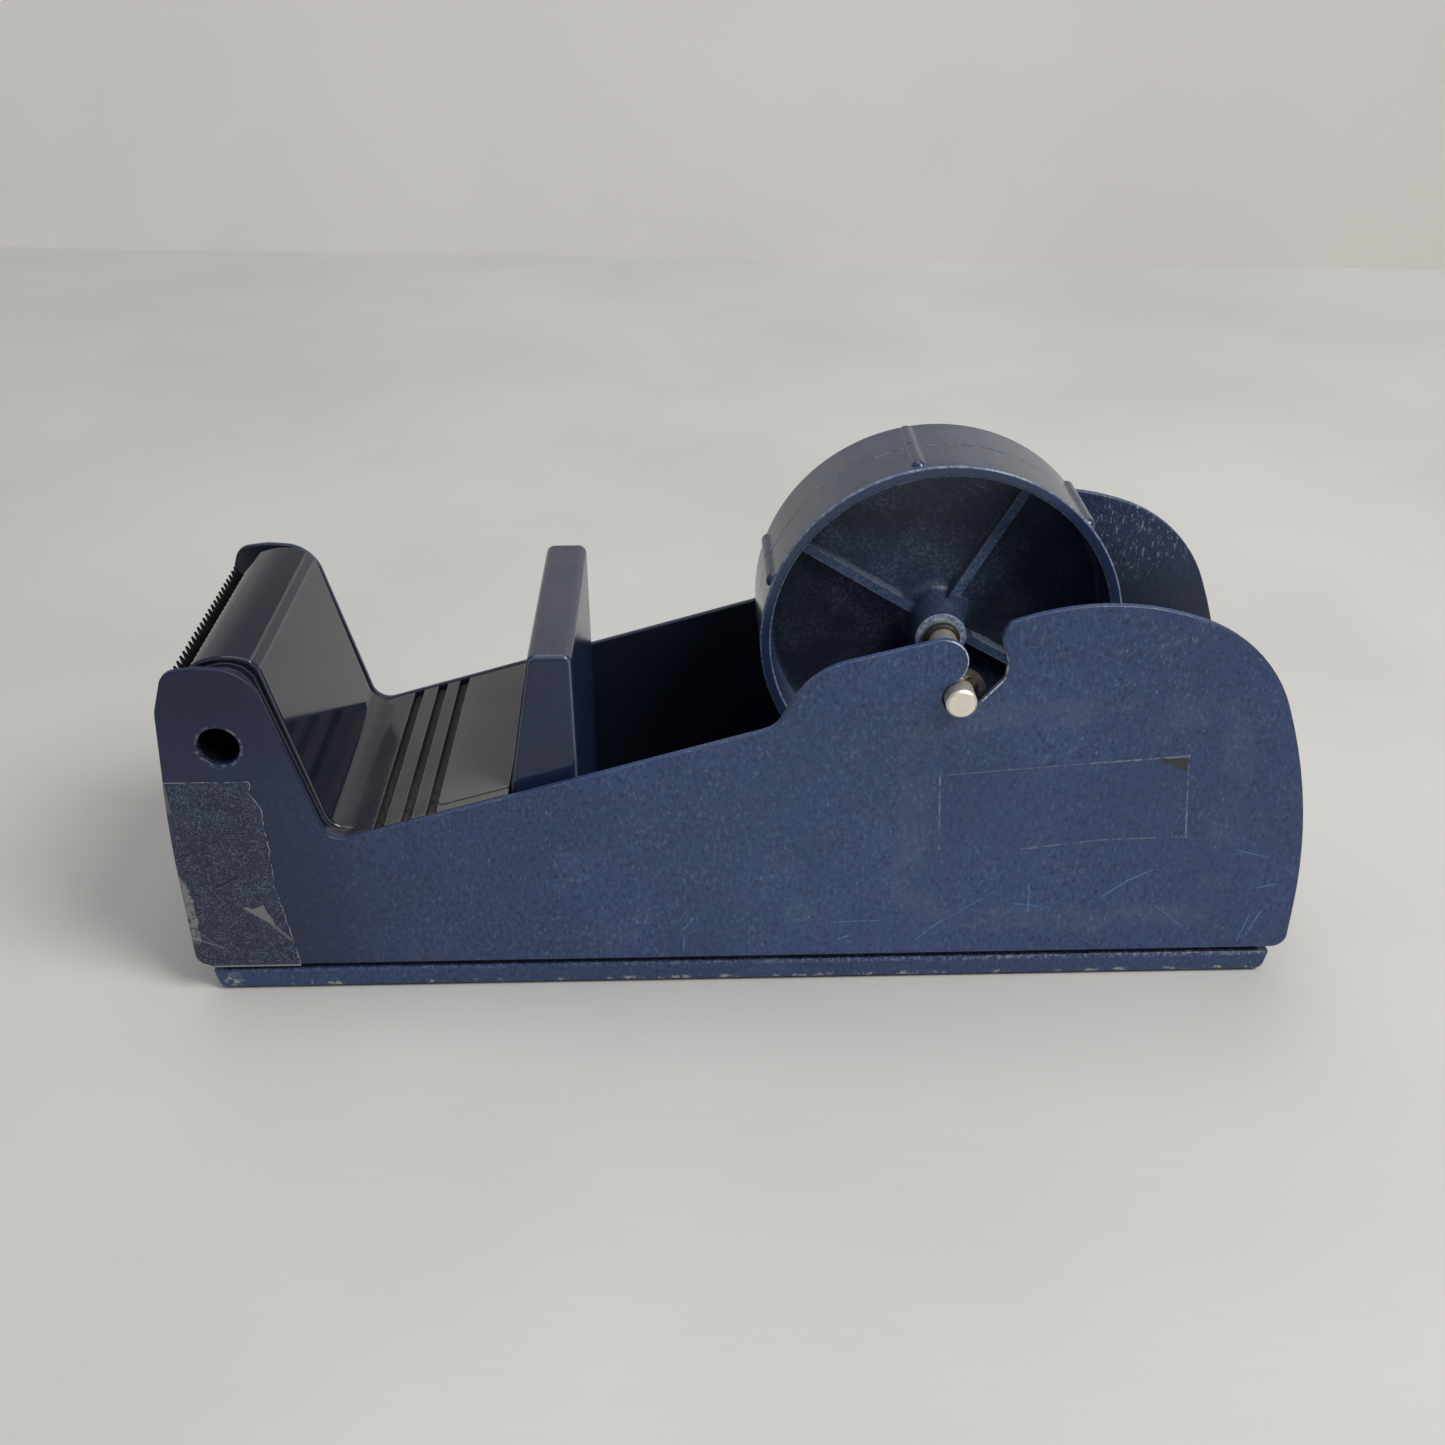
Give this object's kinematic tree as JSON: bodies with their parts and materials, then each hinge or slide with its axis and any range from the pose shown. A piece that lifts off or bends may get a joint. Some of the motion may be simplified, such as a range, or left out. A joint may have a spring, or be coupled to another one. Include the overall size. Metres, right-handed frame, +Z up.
{
  "type": "tape dispenser",
  "caption": "Weighted bench tape dispenser: slotted side plates carry a lift-out axle and core wheel; a moulded bridge, platform and toothed cutter stand in front.",
  "frame": {"origin": "on the surface the pad stands on, midway between the side plates and midway along them", "axes": "+X from the cutter towards the roll, +Y from the near side plate to the far one, +Z up"},
  "size_m": [0.231, 0.0662, 0.107],
  "materials": {
    "navy_paint": "satin navy enamel, scuffed",
    "channel_paint": "satin dark navy enamel",
    "slab_iron": "rough grey iron",
    "pad_rubber": "matte black",
    "screw_zinc": "zinc plated",
    "navy_moulding": "gloss near-black navy",
    "tube_black": "dark enamel",
    "blade_black": "blackened steel",
    "clamp_black": "black enamel",
    "axle_nickel": "dull nickel plate",
    "clip_steel": "phosphated spring steel",
    "wheel_plastic": "satin navy moulding",
    "sleeve_steel": "drawn steel"
  },
  "bodies": {
    "frame": {"near_side_plate": "navy_paint", "far_side_plate": "navy_paint", "base_pan": "navy_paint", "ballast_slab": "slab_iron", "base_pad": "pad_rubber", "floor_channel": "channel_paint", "base_screws": "screw_zinc", "housing_screws": "screw_zinc", "bridge_screws": "screw_zinc", "front_housing": "navy_moulding", "front_ballast": "slab_iron", "front_cross_tube": "tube_black", "tape_bridge": "navy_moulding", "cutter_blade": "blade_black", "blade_clamp": "clamp_black", "blade_screws": "clamp_black"},
    "axle_set": {"axle": "axle_nickel", "near_axle_clip": "clip_steel", "far_axle_clip": "clip_steel", "near_hub_ring": "clip_steel", "far_hub_ring": "clip_steel"},
    "wheel": {"core_wheel": "wheel_plastic", "hub_sleeve": "sleeve_steel"}
  },
  "joints": [
    {"name": "axle_unhook", "type": "hinge", "parent": "frame", "child": "axle_set", "pos_m": [0.0379, 0, 0.07645], "axis": [0, -1, 0], "range_deg": [0, 150]},
    {"name": "wheel_spin", "type": "hinge", "parent": "axle_set", "child": "wheel", "pos_m": [0.0415, 0, 0.0691], "axis": [0, 1, 0], "continuous": true}
  ]
}
